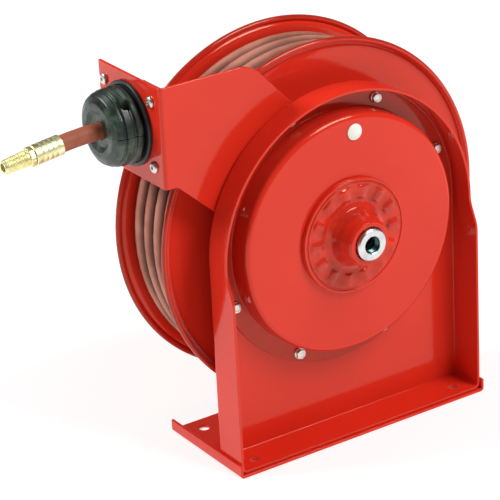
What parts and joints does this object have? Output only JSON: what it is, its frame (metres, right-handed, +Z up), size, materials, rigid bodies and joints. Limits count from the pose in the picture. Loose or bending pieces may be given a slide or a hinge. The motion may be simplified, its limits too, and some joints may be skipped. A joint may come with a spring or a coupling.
{
  "type": "fire hose reel",
  "caption": "Spring-rewind hose reel: an arched pedestal carries a flanged spool of hose, with a roller guide arm and a bumper at the hose's end.",
  "frame": {"origin": "middle of the base plate's underside, on the floor", "axes": "+Z up, +Y from the spring case towards the spool, -X the way the hose leaves; metres"},
  "size_m": [0.5269, 0.186, 0.4145],
  "materials": {
    "red_paint": "high gloss red powder coat",
    "zinc_steel": "bright zinc plate",
    "spring_steel": "blued, satin",
    "bronze": "sintered, oiled",
    "brass": "turned, bright",
    "black_plastic": "moulded, fine grain",
    "bumper_rubber": "moulded, satin",
    "hose_rubber": "wrapped cover, satin",
    "cream_plastic": "gloss",
    "seal_rubber": "greased"
  },
  "bodies": {
    "frame": {"base_plate": "red_paint", "pedestal": "red_paint", "spring_case": "red_paint", "case_screw_1": "zinc_steel", "case_screw_2": "zinc_steel", "case_screw_3": "zinc_steel", "case_screw_4": "zinc_steel", "case_screw_5": "zinc_steel", "case_screw_6": "zinc_steel", "case_screw_7": "zinc_steel", "case_screw_8": "zinc_steel", "case_plug": "cream_plastic", "front_bearing_housing": "red_paint", "front_bush": "bronze", "rear_bush": "bronze", "rear_bearing_housing": "zinc_steel", "power_spring": "spring_steel", "pawl_pin": "zinc_steel", "pawl_spring": "spring_steel", "guide_arm": "red_paint", "guide_bezel": "black_plastic", "roller_frame": "black_plastic", "roller_pin_lower": "zinc_steel", "roller_pin_upper": "zinc_steel", "roller_pin_near": "zinc_steel", "roller_pin_far": "zinc_steel", "guide_screw_1": "zinc_steel", "guide_screw_2": "zinc_steel", "guide_screw_3": "zinc_steel", "guide_screw_4": "zinc_steel", "hose_run": "hose_rubber"},
    "spool": {"main_shaft": "zinc_steel", "spring_arbor": "zinc_steel", "swivel_seal": "seal_rubber", "near_flange": "red_paint", "far_flange": "red_paint", "drum": "red_paint", "near_hub": "zinc_steel", "far_hub": "zinc_steel", "tie_rod_1": "zinc_steel", "tie_rod_2": "zinc_steel", "tie_rod_3": "zinc_steel", "tie_rod_4": "zinc_steel", "shaft_nut": "zinc_steel", "outlet_elbow": "brass", "ratchet_ring": "zinc_steel", "hose_winding": "hose_rubber"},
    "swivel": {"inlet_swivel": "zinc_steel"},
    "pawl": {"latch_pawl": "zinc_steel"},
    "roller_low": {"roller_lower": "black_plastic"},
    "roller_high": {"roller_upper": "black_plastic"},
    "roller_front": {"roller_near": "black_plastic"},
    "roller_back": {"roller_far": "black_plastic"},
    "hose_end": {"hose_tail": "hose_rubber", "bumper_upper": "bumper_rubber", "bumper_lower": "bumper_rubber", "bumper_bolt_1": "zinc_steel", "bumper_bolt_2": "zinc_steel", "ferrule": "brass", "brass_fitting": "brass"}
  },
  "joints": [
    {"name": "spool_spin", "type": "hinge", "parent": "frame", "child": "spool", "pos_m": [0, 0.045, 0.2212], "axis": [0, -1, 0], "range_deg": [0, 360], "stiffness_Nm_per_rad": 0.15, "springref_deg": -1718.87},
    {"name": "hose_pull", "type": "slide", "parent": "frame", "child": "hose_end", "axis": [-1, 0, 0], "range_m": [0, 1.0384]},
    {"name": "swivel_spin", "type": "hinge", "parent": "frame", "child": "swivel", "pos_m": [0, -0.08, 0.2212], "axis": [0, -1, 0], "continuous": true},
    {"name": "roller_lower_spin", "type": "hinge", "parent": "frame", "child": "roller_low", "pos_m": [-0.1825, 0.04, 0.347], "axis": [0, 1, 0], "continuous": true},
    {"name": "roller_upper_spin", "type": "hinge", "parent": "frame", "child": "roller_high", "pos_m": [-0.1825, 0.04, 0.38], "axis": [0, -1, 0], "continuous": true},
    {"name": "roller_near_spin", "type": "hinge", "parent": "frame", "child": "roller_front", "pos_m": [-0.1675, 0.0235, 0.3635], "axis": [0, 0, -1], "continuous": true},
    {"name": "roller_far_spin", "type": "hinge", "parent": "frame", "child": "roller_back", "pos_m": [-0.1675, 0.0565, 0.3635], "axis": [0, 0, 1], "continuous": true},
    {"name": "pawl_turn", "type": "hinge", "parent": "frame", "child": "pawl", "pos_m": [0.0772, 0, 0.2122], "axis": [0, -1, 0], "range_deg": [0, 17], "stiffness_Nm_per_rad": 0.01, "springref_deg": -17.19}
  ],
  "couplings": [
    {"joint": "hose_pull", "follows": "spool_spin", "m_per_rad": 0.16525}
  ]
}
